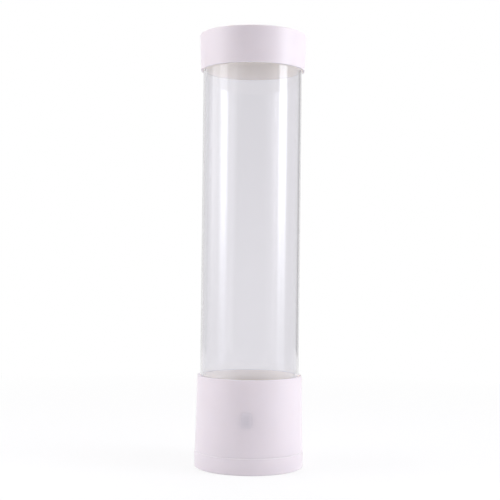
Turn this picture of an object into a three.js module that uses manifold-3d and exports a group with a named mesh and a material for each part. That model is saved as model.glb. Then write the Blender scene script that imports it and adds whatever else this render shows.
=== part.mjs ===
// A wall cup dispenser: a clear tube of stacked paper cups between a push-on cap and a white base.
// Pressing the button at the front drops the lowest cup. Two catch frames slide in opposite
// directions: as the two lower ledges open, two upper blades close under the next cup.
// Millimetres. The origin is on the tube's axis at the underside, +Z is up, -Y is the front.
import * as THREE from 'three';
import { mergeVertices } from 'three/addons/utils/BufferGeometryUtils.js';
import Module from 'manifold-3d';

const wasm = await Module();
wasm.setup();

// Fits and facets
const fitGap = 0.3;
const cutOverrun = 1;
const joinDepth = 0.5;
const weldDistance = 0.0005;
const largeFacets = 64;
const smallFacets = 20;
const cornerFacets = 4;

// Whole object
const totalHeight = 437;

// Tube
const tubeRadius = 50;
const tubeWall = 2;

// Passage for the cups through the guide and the catches, as a step in from the tube's bore
const passageStep = 8.7;

// Cap
const capHeight = 36;
const capTopWall = 3.85;
const capRimWall = 2.4;
const capPlate = 2.5;
const capEdgeRound = 1.2;
const capSpigotWall = 1.9;
const capSpigotDepth = 6.5;

// Bottom ring
const ringHeight = 16.3;
const ringStep = 0.5;
const ringWall = 2.8;
const ringEdge = 0.6;
const ringTurnDegrees = 20;
const spigotHeight = 11.7;
const spigotWall = 2;
const mouthStep = 7.2;
const mouthLipHeight = 1;
const mouthLipWall = 2;
const lugCount = 3;
const lugDegrees = 12;
const lugHeight = 3;
const lugReach = 1.7;
const lugDrop = 4;

// Base housing
const socketDepth = 26.4;
const housingFootWall = 3.5;
const housingRimWall = 2.75;
const housingRimRound = 0.8;
const cavityStep = 0.9;
const ledgeRise = 12.8;
const ledgeThickness = 2.7;
const ledgeWidth = 4.3;
const bossRadius = 3.2;
const bossInset = 2.8;
const bossAngleDegrees = 60;
const bossHoleSpare = 2;

// Rear pad with its dovetail channel, and the wall bracket
const padWidth = 46;
const padRise = 1.4;
const padHeight = 64;
const padCorner = 3;
const channelWidth = 36;
const channelMouth = 31;
const channelDepth = 2.6;
const channelStop = 6;
const bracketHeight = 55.7;
const bracketHoleSpacing = 40;
const bracketHoleRadius = 2.25;
const bracketHeadRadius = 4.5;

// Cup guide
const throatStep = 0.7;
const guideRimHeight = 7.7;
const guideTopStep = 1.8;
const guideFlange = 2;
const throatLength = 7.2;
const guideWall = 2;
const guideRimWall = 1.4;

// Tray
const trayRise = 24.1;
const trayThickness = 2.7;
const trayEdgeGap = 0.5;
const trayOpeningGap = 0.2;
const ribWidth = 1.2;

// Catch frames
const catchTravel = 3.5;
const plateThickness = 2;
const frameEdgeGap = 0.9;
const innerBarGap = 0.7;
const innerBarWidth = 3.5;
const outerBarWidth = 3;
const barHalfLength = 4;
const leverGapBelow = 1.3;
const leverGapAbove = 1.2;

// Reversing lever and its pin
const leverThickness = 3;
const leverInset = 4.5;
const leverArm = 11;
const leverWidth = 5.4;
const hubRadius = 3.6;
const pegRadius = 1.3;
const pinRadius = 1.2;
const pinHeadRadius = 2.6;
const pinHeadHeight = 0.6;
const pinBossRadius = 2.5;

// Release button
const buttonWidth = 10.5;
const buttonHeight = 15.5;
const buttonRise = 4.5;
const buttonProud = 0.5;
const buttonCorner = 2.2;
const buttonFlangeMargin = 1.35;
const buttonFlange = 1.5;
const tongueHalfWidth = 3;
const stemWall = 1.5;
const stemLength = 3.4;

// Return springs
const springRadius = 2.1;
const springWire = 0.5;
const springTurns = 5;
const springStepsPerTurn = 8;
const wireSides = 6;
const springLugThickness = 2.5;
const springLugSide = 0.3;
const springSpace = 8.3;

// Tray screws
const screwHeadRadius = 2.75;
const screwHeadHeight = 2;
const screwRadius = 1.45;
const screwLength = 12;
const screwTip = 1;
const recessWidth = 0.8;
const recessLength = 3.2;
const recessDepth = 1.1;

// Places that follow from the sizes above
const tubeBore = tubeRadius - tubeWall;
const passageRadius = tubeBore - passageStep;
const throatRadius = passageRadius - throatStep;
const mouthRadius = passageRadius + mouthStep;
const socketRadius = tubeRadius + fitGap;
const cavityRadius = socketRadius + cavityStep;
const housingRimRadius = socketRadius + housingRimWall;
const housingFootRadius = cavityRadius + housingFootWall;
const ledgeRadius = socketRadius - ledgeWidth;
const bossCircle = cavityRadius - bossInset;
const capTopRadius = socketRadius + capTopWall;
const capRimRadius = socketRadius + capRimWall;
const ringRadius = housingFootRadius + ringStep;
const guideTopRadius = tubeBore - guideTopStep;
const trayRadius = cavityRadius - trayEdgeGap;
const frameRadius = cavityRadius - frameEdgeGap;
const innerBarStart = passageRadius + innerBarGap;
const leverDistance = passageRadius + leverInset;
const housingBottom = ringHeight + fitGap;
const capBottom = totalHeight - capHeight;
const capPlateBottom = totalHeight - capPlate;
const tubeTop = capPlateBottom - fitGap;
const trayTop = housingBottom + trayRise;
const trayBottom = trayTop - trayThickness;
const trayOpening = passageRadius + trayOpeningGap;
const lowPlateBottom = trayTop + fitGap;
const lowPlateTop = lowPlateBottom + plateThickness;
const leverBottom = lowPlateTop + leverGapBelow;
const leverTop = leverBottom + leverThickness;
const highPlateBottom = leverTop + leverGapAbove;
const highPlateTop = highPlateBottom + plateThickness;
const guideBottom = highPlateTop + fitGap;
const guideThroatTop = guideBottom + throatLength;
const ledgeBottom = highPlateTop + ledgeRise;
const ledgeTop = ledgeBottom + ledgeThickness;
const housingTop = ledgeTop + socketDepth;
const flangeBottom = ledgeTop + fitGap;
const flangeTop = flangeBottom + guideFlange;
const guideTop = flangeTop + guideRimHeight;
const tubeBottom = flangeTop + fitGap;
const buttonCentre = highPlateBottom + buttonRise;
const screwTipTop = trayBottom - fitGap + screwLength;
const padBottom = housingBottom + padRise;
const padTop = padBottom + padHeight;
const channelTop = padTop - channelStop;
const innerBarEnd = innerBarStart + innerBarWidth;
const ribStart = innerBarEnd + fitGap;
const ribEnd = ribStart + ribWidth;
const outerBarStart = ribEnd + fitGap;
const outerBarEnd = outerBarStart + outerBarWidth;
const leverSwing = 2 * Math.asin(catchTravel / 2 / leverArm);
const springMiddle = (lowPlateTop + highPlateBottom) / 2;
const spigotOuter = cavityRadius - fitGap;
const spigotTop = ringHeight + spigotHeight;
const lugTop = spigotTop - lugDrop;
const padFace = ringRadius + fitGap + channelDepth;
const radians = THREE.MathUtils.degToRad;

// Solids

function solid(geometry) {
  geometry.deleteAttribute('normal');
  geometry.deleteAttribute('uv');
  const welded = mergeVertices(geometry, weldDistance);
  const index = welded.index.array;
  const kept = [];
  for (let i = 0; i < index.length; i += 3) {
    const [a, b, c] = index.slice(i, i + 3);
    if (a !== b && b !== c && c !== a) kept.push(a, b, c);
  }
  const vertProperties = new Float32Array(welded.attributes.position.array);
  const triVerts = new Uint32Array(kept);
  return new wasm.Manifold(new wasm.Mesh({ numProp: 3, vertProperties, triVerts }));
}

function geometryOf(body) {
  const mesh = body.getMesh();
  const geometry = new THREE.BufferGeometry();
  geometry.setAttribute('position', new THREE.BufferAttribute(mesh.vertProperties, 3));
  geometry.setIndex(new THREE.BufferAttribute(mesh.triVerts, 1));
  geometry.computeVertexNormals();
  return geometry;
}

function revolved(profile, facets = largeFacets) {
  const points = profile.map(([radius, z]) => new THREE.Vector2(radius, z));
  return solid(new THREE.LatheGeometry(points, facets).rotateX(Math.PI / 2));
}

function disc(radius, z0, z1, x = 0, y = 0, facets = largeFacets) {
  const geometry = new THREE.CylinderGeometry(radius, radius, z1 - z0, facets);
  return solid(geometry.rotateX(Math.PI / 2).translate(x, y, (z0 + z1) / 2));
}

function box(x0, x1, y0, y1, z0, z1) {
  const geometry = new THREE.BoxGeometry(x1 - x0, y1 - y0, z1 - z0);
  return solid(geometry.translate((x0 + x1) / 2, (y0 + y1) / 2, (z0 + z1) / 2));
}

// The same box on both sides of the middle plane
function boxPair(x0, x1, y0, y1, z0, z1) {
  return box(x0, x1, y0, y1, z0, z1).add(box(-x1, -x0, y0, y1, z0, z1));
}

function prism(shape, z0, z1, facets = cornerFacets) {
  const options = { depth: z1 - z0, bevelEnabled: false, curveSegments: facets };
  return solid(new THREE.ExtrudeGeometry(shape, options).translate(0, 0, z0));
}

// A part of a ring between two angles about the main axis
function sector(inner, outer, from, to, z0, z1) {
  const shape = new THREE.Shape();
  shape.absarc(0, 0, outer, from, to, false);
  shape.absarc(0, 0, inner, to, from, true);
  return prism(shape, z0, z1, smallFacets);
}

// A slot with round ends along Y, for a round post that passes a sliding plate
function slotAlongY(radius, x, y0, y1, z0, z1) {
  return disc(radius, z0, z1, x, y0, smallFacets)
    .add(disc(radius, z0, z1, x, y1, smallFacets))
    .add(box(x - radius, x + radius, y0, y1, z0, z1));
}

function roundedRectangle(halfWidth, halfHeight, corner) {
  const shape = new THREE.Shape();
  shape.absarc(halfWidth - corner, halfHeight - corner, corner, 0, Math.PI / 2, false);
  shape.absarc(corner - halfWidth, halfHeight - corner, corner, Math.PI / 2, Math.PI, false);
  shape.absarc(corner - halfWidth, corner - halfHeight, corner, Math.PI, Math.PI * 3 / 2, false);
  shape.absarc(halfWidth - corner, corner - halfHeight, corner, Math.PI * 3 / 2, Math.PI * 2, false);
  return shape;
}

// The four screw bosses stand at one angle each side of the front and of the rear
const bossX = bossCircle * Math.sin(radians(bossAngleDegrees));
const bossY = bossCircle * Math.cos(radians(bossAngleDegrees));
const bossPlaces = [[bossX, bossY], [-bossX, bossY], [-bossX, -bossY], [bossX, -bossY]];

function housingRadiusAt(z) {
  const share = (z - housingBottom) / (housingTop - housingBottom);
  return housingFootRadius + share * (housingRimRadius - housingFootRadius);
}

function channelHalfWidthAt(y) {
  const slope = (channelWidth - channelMouth) / 2 / channelDepth;
  return channelWidth / 2 - (y - (padFace - channelDepth)) * slope;
}

// Clear tube, open at both ends
function tubeSolid() {
  return revolved([
    [tubeBore, tubeBottom],
    [tubeRadius, tubeBottom],
    [tubeRadius, tubeTop],
    [tubeBore, tubeTop],
    [tubeBore, tubeBottom],
  ]);
}

// Cap with a skirt outside the tube and a short spigot inside it
function capSolid() {
  const spigotRadius = tubeBore - fitGap;
  const spigotBottom = capPlateBottom - capSpigotDepth;
  return revolved([
    [0, capPlateBottom],
    [spigotRadius - capSpigotWall, capPlateBottom],
    [spigotRadius - capSpigotWall, spigotBottom],
    [spigotRadius, spigotBottom],
    [spigotRadius, capPlateBottom],
    [socketRadius, capPlateBottom],
    [socketRadius, capBottom],
    [capRimRadius, capBottom],
    [capTopRadius, totalHeight - capEdgeRound],
    [capTopRadius - capEdgeRound / 4, totalHeight - capEdgeRound / 3],
    [capTopRadius - capEdgeRound, totalHeight],
    [0, totalHeight],
  ]);
}

// Ring round the exit mouth, with a spigot and three bayonet lugs inside the housing
function ringSolid() {
  const innerRadius = ringRadius - ringWall;
  const spigotInner = spigotOuter - spigotWall;
  const webBottom = ringHeight - ringWall;
  let ring = revolved([
    [innerRadius, 0],
    [ringRadius - ringEdge, 0],
    [ringRadius, ringEdge],
    [ringRadius, ringHeight - ringEdge / 2],
    [ringRadius - ringEdge / 2, ringHeight],
    [spigotOuter, ringHeight],
    [spigotOuter, spigotTop],
    [spigotInner, spigotTop],
    [spigotInner, ringHeight],
    [mouthRadius, mouthLipHeight + mouthLipWall / 2],
    [mouthRadius, mouthLipHeight],
    [mouthRadius + mouthLipWall, mouthLipHeight],
    [spigotInner + joinDepth, webBottom],
    [innerRadius, webBottom],
    [innerRadius, 0],
  ]);
  const half = radians(lugDegrees / 2);
  for (let i = 0; i < lugCount; i++) {
    const middle = i * Math.PI * 2 / lugCount;
    const from = spigotOuter - joinDepth;
    const to = spigotOuter + lugReach;
    ring = ring.add(sector(from, to, middle - half, middle + half, lugTop - lugHeight, lugTop));
  }
  return ring;
}

// Slots inside the housing's foot in which the ring's lugs turn
function bayonetSlots() {
  const outer = spigotOuter + lugReach + fitGap;
  const inner = cavityRadius - joinDepth;
  const half = radians(lugDegrees / 2) + fitGap / cavityRadius;
  const turn = radians(ringTurnDegrees);
  const low = lugTop - lugHeight - fitGap;
  const high = lugTop + fitGap;
  let slots = null;
  for (let i = 0; i < lugCount; i++) {
    const middle = i * Math.PI * 2 / lugCount;
    const groove = sector(inner, outer, middle - half, middle + turn + half, low, high);
    const entry = sector(
      inner, outer, middle + turn - half, middle + turn + half, housingBottom - cutOverrun, high);
    const slot = groove.add(entry);
    slots = slots ? slots.add(slot) : slot;
  }
  return slots;
}

// Block on the rear of the housing that holds the dovetail channel
function padSolid() {
  const half = padWidth / 2;
  const shape = new THREE.Shape();
  shape.moveTo(-half, 0);
  shape.lineTo(half, 0);
  shape.absarc(half - padCorner, padFace - padCorner, padCorner, 0, Math.PI / 2, false);
  shape.absarc(padCorner - half, padFace - padCorner, padCorner, Math.PI / 2, Math.PI, false);
  return prism(shape, padBottom, padTop);
}

function channelSolid() {
  const floor = padFace - channelDepth;
  const beyond = padFace + cutOverrun;
  const shape = new THREE.Shape([
    new THREE.Vector2(-channelHalfWidthAt(floor), floor),
    new THREE.Vector2(channelHalfWidthAt(floor), floor),
    new THREE.Vector2(channelHalfWidthAt(beyond), beyond),
    new THREE.Vector2(-channelHalfWidthAt(beyond), beyond),
  ]);
  return prism(shape, padBottom - cutOverrun, channelTop);
}

// Base housing: socket for the tube above a ledge, cavity for the mechanism below it
function housingSolid() {
  const outside = revolved([
    [0, housingBottom],
    [housingFootRadius, housingBottom],
    [housingRimRadius, housingTop - housingRimRound],
    [housingRimRadius - housingRimRound / 3, housingTop - housingRimRound / 4],
    [housingRimRadius - housingRimRound, housingTop],
    [0, housingTop],
  ]);
  const inside = revolved([
    [0, housingBottom - cutOverrun],
    [cavityRadius, housingBottom - cutOverrun],
    [cavityRadius, ledgeBottom],
    [ledgeRadius, ledgeBottom],
    [ledgeRadius, ledgeTop],
    [socketRadius, ledgeTop],
    [socketRadius, housingTop + cutOverrun],
    [0, housingTop + cutOverrun],
  ]);
  let housing = outside.add(padSolid()).subtract(inside);
  const bossBottom = trayTop + fitGap;
  for (const [x, y] of bossPlaces) {
    const boss = disc(bossRadius, bossBottom, ledgeBottom + joinDepth, x, y, smallFacets);
    const hole = disc(
      screwRadius + fitGap, bossBottom - cutOverrun, screwTipTop + bossHoleSpare, x, y, smallFacets);
    housing = housing.add(boss).subtract(hole);
  }
  const outline = roundedRectangle(
    buttonWidth / 2 + fitGap, buttonHeight / 2 + fitGap, buttonCorner + fitGap);
  const aperture = prism(outline, 0, housingFootRadius + cutOverrun)
    .rotate([90, 0, 0]).translate([0, 0, buttonCentre]);
  return housing.subtract(aperture).subtract(bayonetSlots()).subtract(channelSolid());
}

// Funnel that centres the cups over the catches
function guideSolid() {
  const flangeRadius = socketRadius - 2 * fitGap;
  const rimRadius = guideTopRadius + guideRimWall;
  return revolved([
    [throatRadius, guideBottom],
    [throatRadius + guideWall, guideBottom],
    [throatRadius + guideWall, guideThroatTop],
    [ledgeRadius - guideWall, flangeBottom],
    [flangeRadius, flangeBottom],
    [flangeRadius, flangeTop],
    [rimRadius, flangeTop],
    [rimRadius, guideTop],
    [guideTopRadius, guideTop],
    [throatRadius, guideThroatTop],
    [throatRadius, guideBottom],
  ]);
}

// Tray under the catch frames: side ribs guide the bars, lugs back the springs
function traySolid() {
  let tray = disc(trayRadius, trayBottom, trayTop);
  const base = trayTop - joinDepth;
  tray = tray.add(boxPair(ribStart, ribEnd, -barHalfLength, barHalfLength, base, highPlateTop));
  const lugTopZ = springMiddle + springRadius;
  const springEnd = barHalfLength + springSpace;
  const lugEnd = springEnd + springLugThickness;
  const outerLug = boxPair(
    outerBarStart + springLugSide, outerBarEnd - springLugSide, springEnd, lugEnd, base, lugTopZ);
  const innerLug = boxPair(
    innerBarStart + springLugSide, innerBarEnd - springLugSide, -lugEnd, -springEnd, base, lugTopZ);
  tray = tray.add(outerLug).add(innerLug);
  tray = tray.intersect(disc(trayRadius, trayBottom, highPlateTop));
  tray = tray.add(disc(pinBossRadius, base, leverBottom - fitGap, 0, leverDistance, smallFacets));
  tray = tray.subtract(disc(trayOpening, trayBottom - cutOverrun, trayTop + cutOverrun));
  const below = trayBottom - cutOverrun;
  tray = tray.subtract(disc(pinRadius + fitGap, below, leverBottom, 0, leverDistance, smallFacets));
  for (const [x, y] of bossPlaces) {
    tray = tray.subtract(disc(screwRadius + fitGap, below, trayTop + cutOverrun, x, y, smallFacets));
  }
  return tray;
}

// Outline that stays inside the housing over the whole travel towards one side
function frameBlank(side, z0, z1) {
  const rest = disc(frameRadius, z0, z1);
  return rest.intersect(disc(frameRadius, z0, z1, 0, -side * catchTravel));
}

// Room for the fixed bosses as a plate slides past them
function bossClearance(side, z0, z1) {
  const radius = bossRadius + fitGap;
  let cuts = null;
  for (const [x, y] of bossPlaces) {
    const ends = [y, y - side * catchTravel].sort((a, b) => a - b);
    const cut = slotAlongY(radius, x, ends[0], ends[1], z0, z1);
    cuts = cuts ? cuts.add(cut) : cut;
  }
  return cuts;
}

// Slot for one of the lever's pegs
function pegSlot(side, z0, z1) {
  const x = leverArm * Math.cos(leverSwing / 2);
  const y = leverDistance - side * catchTravel / 2;
  const half = pegRadius + fitGap;
  const low = x - half;
  const high = leverArm + half;
  const [x0, x1] = side > 0 ? [low, high] : [-high, -low];
  return box(x0, x1, y - half, y + half, z0, z1);
}

// Catch frame on the button: low ledge at the rear, high blade at the front, bars outside
function buttonFrameSolid() {
  const side = 1;
  const reach = frameRadius;
  const plateStart = barHalfLength + fitGap;
  const clearOfBars = barHalfLength + 2 * catchTravel + fitGap;
  const ledgeEdge = disc(
    passageRadius, lowPlateBottom - cutOverrun, lowPlateTop + cutOverrun, 0, -side * catchTravel);
  const bladeEdge = disc(passageRadius, highPlateBottom - cutOverrun, highPlateTop + cutOverrun);
  const springEnd = barHalfLength + springSpace;
  const lugCut = boxPair(
    outerBarStart - fitGap, reach, springEnd - catchTravel - fitGap, springEnd + springLugThickness + fitGap,
    lowPlateBottom, lowPlateTop);
  const ledge = box(-reach, reach, plateStart, reach, lowPlateBottom, lowPlateTop)
    .subtract(ledgeEdge).subtract(lugCut).subtract(pegSlot(side, lowPlateBottom, lowPlateTop));
  const notchHalf = pinBossRadius + fitGap;
  const notch = box(
    -notchHalf, notchHalf, leverDistance - catchTravel - notchHalf, reach, lowPlateBottom, lowPlateTop);
  const blade = box(-reach, reach, -reach, -clearOfBars, highPlateBottom, highPlateTop).subtract(bladeEdge);
  const bars = boxPair(
    outerBarStart, outerBarEnd, -barHalfLength, barHalfLength, lowPlateBottom, highPlateTop);
  const lowLinks = boxPair(outerBarStart, reach, 0, plateStart + joinDepth, lowPlateBottom, lowPlateTop);
  const highLinks = boxPair(
    outerBarStart, reach, -clearOfBars - joinDepth, barHalfLength, highPlateBottom, highPlateTop);
  const frame = ledge.subtract(notch).add(blade).add(bars).add(lowLinks).add(highLinks);
  return frame
    .intersect(frameBlank(side, lowPlateBottom, highPlateTop))
    .subtract(bossClearance(side, lowPlateBottom - cutOverrun, highPlateTop + cutOverrun))
    .subtract(tongueCuts());
}

// What leaves a tongue at the front of the high blade for the button's stem
function tongueCuts() {
  const front = -(frameRadius + cutOverrun);
  const halfFlange = buttonWidth / 2 + buttonFlangeMargin + fitGap;
  const tongueEnd = buttonFlangeBack() + fitGap;
  const stemHalf = tongueHalfWidth + fitGap + stemWall + fitGap;
  const stemEnd = buttonFlangeBack() + stemLength + fitGap;
  return box(-halfFlange, halfFlange, front, tongueEnd, highPlateBottom, highPlateTop)
    .add(boxPair(tongueHalfWidth, stemHalf, front, stemEnd, highPlateBottom, highPlateTop));
}

// Catch frame that runs the other way: low ledge at the front, high blade at the rear, bars inside
function counterFrameSolid() {
  const side = -1;
  const reach = frameRadius;
  const plateStart = barHalfLength + fitGap;
  const clearOfBars = barHalfLength + 2 * catchTravel + fitGap;
  const ledgeEdge = disc(
    passageRadius, lowPlateBottom - cutOverrun, lowPlateTop + cutOverrun, 0, -side * catchTravel);
  const bladeEdge = disc(passageRadius, highPlateBottom - cutOverrun, highPlateTop + cutOverrun);
  const springEnd = barHalfLength + springSpace;
  const lugCut = boxPair(
    innerBarStart - fitGap, innerBarEnd + fitGap, -(springEnd + springLugThickness + fitGap),
    catchTravel + fitGap - springEnd, lowPlateBottom, lowPlateTop);
  const ledge = box(-reach, reach, -reach, -plateStart, lowPlateBottom, lowPlateTop)
    .subtract(ledgeEdge).subtract(lugCut);
  const blade = box(-reach, reach, clearOfBars, reach, highPlateBottom, highPlateTop)
    .subtract(bladeEdge).subtract(pegSlot(side, highPlateBottom, highPlateTop));
  const bars = boxPair(
    innerBarStart, innerBarEnd, -barHalfLength, barHalfLength, lowPlateBottom, highPlateTop);
  const lowLinks = boxPair(
    innerBarStart, innerBarEnd, -plateStart - joinDepth, 0, lowPlateBottom, lowPlateTop);
  const highLinks = boxPair(
    innerBarStart, innerBarEnd, -barHalfLength, clearOfBars + joinDepth, highPlateBottom, highPlateTop);
  return ledge.add(blade).add(bars).add(lowLinks).add(highLinks)
    .intersect(frameBlank(side, lowPlateBottom, highPlateTop))
    .subtract(bossClearance(side, lowPlateBottom - cutOverrun, highPlateTop + cutOverrun));
}

// Lever about its own pivot: one peg down into the button's frame, one up into the counter frame
function leverSolid() {
  const half = leverWidth / 2;
  let lever = box(-leverArm, leverArm, -half, half, leverBottom, leverTop)
    .add(disc(half, leverBottom, leverTop, leverArm, 0, smallFacets))
    .add(disc(half, leverBottom, leverTop, -leverArm, 0, smallFacets))
    .add(disc(hubRadius, leverBottom, leverTop, 0, 0, smallFacets));
  const low = disc(pegRadius, lowPlateBottom, leverBottom + joinDepth, leverArm, 0, smallFacets);
  const high = disc(pegRadius, leverTop - joinDepth, highPlateTop - fitGap, -leverArm, 0, smallFacets);
  const bore = disc(
    pinRadius + fitGap, leverBottom - cutOverrun, leverTop + cutOverrun, 0, 0, smallFacets);
  return lever.add(low).add(high).subtract(bore);
}

// Headed pin through the lever and the tray's boss
function pinSolid() {
  const headBottom = leverTop + fitGap;
  return revolved([
    [0, trayBottom + fitGap],
    [pinRadius, trayBottom + fitGap],
    [pinRadius, headBottom],
    [pinHeadRadius, headBottom],
    [pinHeadRadius, headBottom + pinHeadHeight],
    [0, headBottom + pinHeadHeight],
  ], smallFacets);
}

function buttonFlangeFront() {
  const half = buttonWidth / 2 + buttonFlangeMargin;
  return fitGap - Math.sqrt(cavityRadius ** 2 - half ** 2);
}

function buttonFlangeBack() {
  return buttonFlangeFront() + buttonFlange;
}

// Button with a flange behind the wall and a forked stem on the frame's tongue
function buttonSolid() {
  const depth = housingFootRadius + cutOverrun;
  const face = prism(roundedRectangle(buttonWidth / 2, buttonHeight / 2, buttonCorner), 0, depth)
    .rotate([90, 0, 0]).translate([0, 0, buttonCentre]);
  const low = buttonCentre - buttonHeight / 2;
  const high = buttonCentre + buttonHeight / 2;
  const faceRadius = housingRadiusAt(buttonCentre) + buttonProud;
  const front = -depth - cutOverrun;
  const back = buttonFlangeBack() - joinDepth;
  const cylinder = disc(faceRadius, low - cutOverrun, high + cutOverrun)
    .intersect(box(-depth, depth, front, back, low - cutOverrun, high + cutOverrun));
  const flangeHalf = buttonWidth / 2 + buttonFlangeMargin;
  const flange = box(
    -flangeHalf, flangeHalf, buttonFlangeFront(), buttonFlangeBack(),
    low - buttonFlangeMargin, high + buttonFlangeMargin);
  const slotHalf = tongueHalfWidth + fitGap;
  const stemHalf = slotHalf + stemWall;
  const slotLow = highPlateBottom - fitGap;
  const slotHigh = highPlateTop + fitGap;
  const stem = box(
    -stemHalf, stemHalf, buttonFlangeBack() - joinDepth, buttonFlangeBack() + stemLength,
    slotLow - stemWall, slotHigh + stemWall);
  const slotEnd = buttonFlangeBack() + stemLength + cutOverrun;
  const slot = box(-slotHalf, slotHalf, buttonFlangeBack(), slotEnd, slotLow, slotHigh);
  return face.intersect(cylinder).add(flange).add(stem).subtract(slot);
}

// Compression spring as one wound wire along +Y from its own origin
class SpringCurve extends THREE.Curve {
  getPoint(share) {
    const angle = share * springTurns * Math.PI * 2;
    const radius = springRadius - springWire / 2;
    const length = springSpace - 2 * fitGap - springWire;
    const along = fitGap + springWire / 2 + share * length;
    return new THREE.Vector3(radius * Math.cos(angle), along, radius * Math.sin(angle));
  }
}

function springGeometry() {
  const wire = [];
  for (let i = 0; i < wireSides; i++) {
    const angle = i * Math.PI * 2 / wireSides;
    wire.push(new THREE.Vector2(Math.cos(angle), Math.sin(angle)).multiplyScalar(springWire / 2));
  }
  const options = { steps: springTurns * springStepsPerTurn, extrudePath: new SpringCurve() };
  return geometryOf(solid(new THREE.ExtrudeGeometry(new THREE.Shape(wire), options)));
}

// Pan-head screw about its own axis, driven up from below, with a cross recess
function screwSolid() {
  const headBottom = trayBottom - fitGap - screwHeadHeight;
  const headTop = trayBottom - fitGap;
  const screw = revolved([
    [0, headBottom],
    [screwHeadRadius * 3 / 4, headBottom],
    [screwHeadRadius, headBottom + screwHeadHeight / 2],
    [screwHeadRadius, headTop],
    [screwRadius, headTop],
    [screwRadius, screwTipTop - screwTip],
    [0, screwTipTop],
  ], smallFacets);
  const half = recessLength / 2;
  const side = recessWidth / 2;
  const recess = box(-half, half, -side, side, headBottom - cutOverrun, headBottom + recessDepth)
    .add(box(-side, side, -half, half, headBottom - cutOverrun, headBottom + recessDepth));
  return screw.subtract(recess);
}

// Wall bracket: a dovetail plate with two countersunk screw holes
function bracketSolid() {
  const inner = padFace - channelDepth + fitGap;
  const outer = padFace + fitGap;
  const sideGap = fitGap * Math.SQRT2;
  const top = channelTop - fitGap;
  const bottom = top - bracketHeight;
  const shape = new THREE.Shape([
    new THREE.Vector2(sideGap - channelHalfWidthAt(inner), inner),
    new THREE.Vector2(channelHalfWidthAt(inner) - sideGap, inner),
    new THREE.Vector2(channelHalfWidthAt(outer) - sideGap, outer),
    new THREE.Vector2(sideGap - channelHalfWidthAt(outer), outer),
  ]);
  let bracket = prism(shape, bottom, top);
  const sink = bracketHeadRadius - bracketHoleRadius;
  for (const side of [-1, 1]) {
    const z = (top + bottom) / 2 + side * bracketHoleSpacing / 2;
    const hole = revolved([
      [0, -cutOverrun],
      [bracketHeadRadius, -cutOverrun],
      [bracketHeadRadius, 0],
      [bracketHoleRadius, sink],
      [bracketHoleRadius, channelDepth + cutOverrun],
      [0, channelDepth + cutOverrun],
    ], smallFacets);
    bracket = bracket.subtract(hole.rotate([-90, 0, 0]).translate([0, inner, z]));
  }
  return bracket;
}

// Materials
function whitePlastic() {
  return new THREE.MeshStandardMaterial({ color: '#f0ecf1', roughness: 0.3, metalness: 0 });
}

function clearPlastic() {
  return new THREE.MeshStandardMaterial({
    color: '#e4e8ee', roughness: 0.05, metalness: 0, transparent: true, opacity: 0.3 });
}

function greyPlastic() {
  return new THREE.MeshStandardMaterial({ color: '#c4c6cc', roughness: 0.5, metalness: 0 });
}

function buttonPlastic() {
  return new THREE.MeshStandardMaterial({ color: '#c9cbd8', roughness: 0.4, metalness: 0 });
}

function steel() {
  return new THREE.MeshStandardMaterial({ color: '#b9bcc0', roughness: 0.3, metalness: 1 });
}

// Assembly
const dispenser = new THREE.Group();

function place(name, geometry, material) {
  const mesh = new THREE.Mesh(geometry, material);
  mesh.name = name;
  dispenser.add(mesh);
  return mesh;
}

place('cap', geometryOf(capSolid()), whitePlastic());
place('tube', geometryOf(tubeSolid()), clearPlastic());
place('base_housing', geometryOf(housingSolid()), whitePlastic());
place('bottom_ring', geometryOf(ringSolid()), whitePlastic());
place('release_button', geometryOf(buttonSolid()), buttonPlastic());
place('cup_guide', geometryOf(guideSolid()), whitePlastic());
place('mechanism_tray', geometryOf(traySolid()), whitePlastic());
place('button_frame', geometryOf(buttonFrameSolid()), greyPlastic());
place('counter_frame', geometryOf(counterFrameSolid()), greyPlastic());
place('lever_pin', geometryOf(pinSolid()), steel()).position.set(0, leverDistance, 0);
place('wall_bracket', geometryOf(bracketSolid()), greyPlastic());

const lever = place('reversing_lever', geometryOf(leverSolid()), greyPlastic());
lever.position.set(0, leverDistance, 0);
lever.rotation.z = -leverSwing / 2;

bossPlaces.forEach(([x, y], i) => {
  place(`tray_screw_${i + 1}`, geometryOf(screwSolid()), steel()).position.set(x, y, 0);
});

// Two springs push the button's frame forward, two push the counter frame back
const outerSpringX = (outerBarStart + outerBarEnd) / 2;
const innerSpringX = (innerBarStart + innerBarEnd) / 2;
const springPlaces = [
  [outerSpringX, barHalfLength], [-outerSpringX, barHalfLength],
  [innerSpringX, -(barHalfLength + springSpace)], [-innerSpringX, -(barHalfLength + springSpace)],
];
springPlaces.forEach(([x, y], i) => {
  place(`return_spring_${i + 1}`, springGeometry(), steel()).position.set(x, y, springMiddle);
});

export default dispenser;
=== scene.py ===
import math

import bmesh
import bpy
from mathutils import Matrix, Vector


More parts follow.
